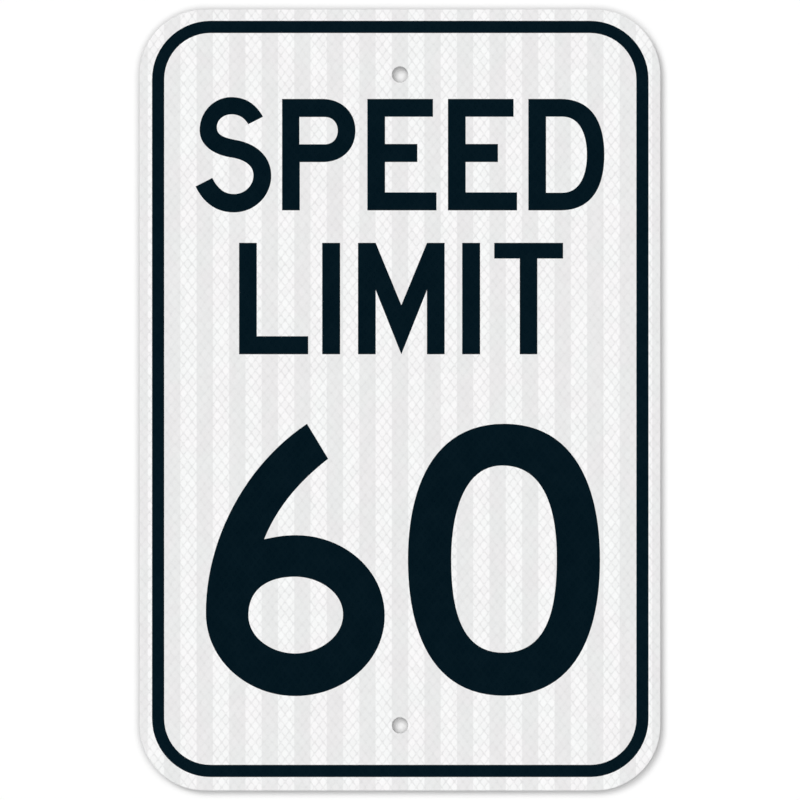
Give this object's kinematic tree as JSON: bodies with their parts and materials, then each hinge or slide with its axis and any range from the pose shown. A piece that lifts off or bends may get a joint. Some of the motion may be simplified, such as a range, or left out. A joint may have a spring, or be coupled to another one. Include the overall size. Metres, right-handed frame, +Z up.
{
  "type": "speed limit sign",
  "caption": "Upright flat road sign: thin aluminium blank with round corners, white reflective sheeting, dark printed border, and bolt holes near the top and bottom edges.",
  "frame": {"origin": "on the back face, midway between the two bolt holes", "axes": "+X to the right as the face is read, +Z up, +Y out of the back towards the post, so the face looks along -Y"},
  "size_m": [0.3048, 0.002, 0.4572],
  "materials": {
    "bare_aluminium": "mill finish, satin, fine rolling lines",
    "white_sheeting": "smooth, slightly glossy retroreflective film with faint bands and a diamond grid",
    "dark_ink": "satin screen ink, blue-black"
  },
  "bodies": {
    "root": {"sign_blank": "bare_aluminium", "reflective_sheeting": "white_sheeting", "border_print": "dark_ink"}
  },
  "joints": []
}
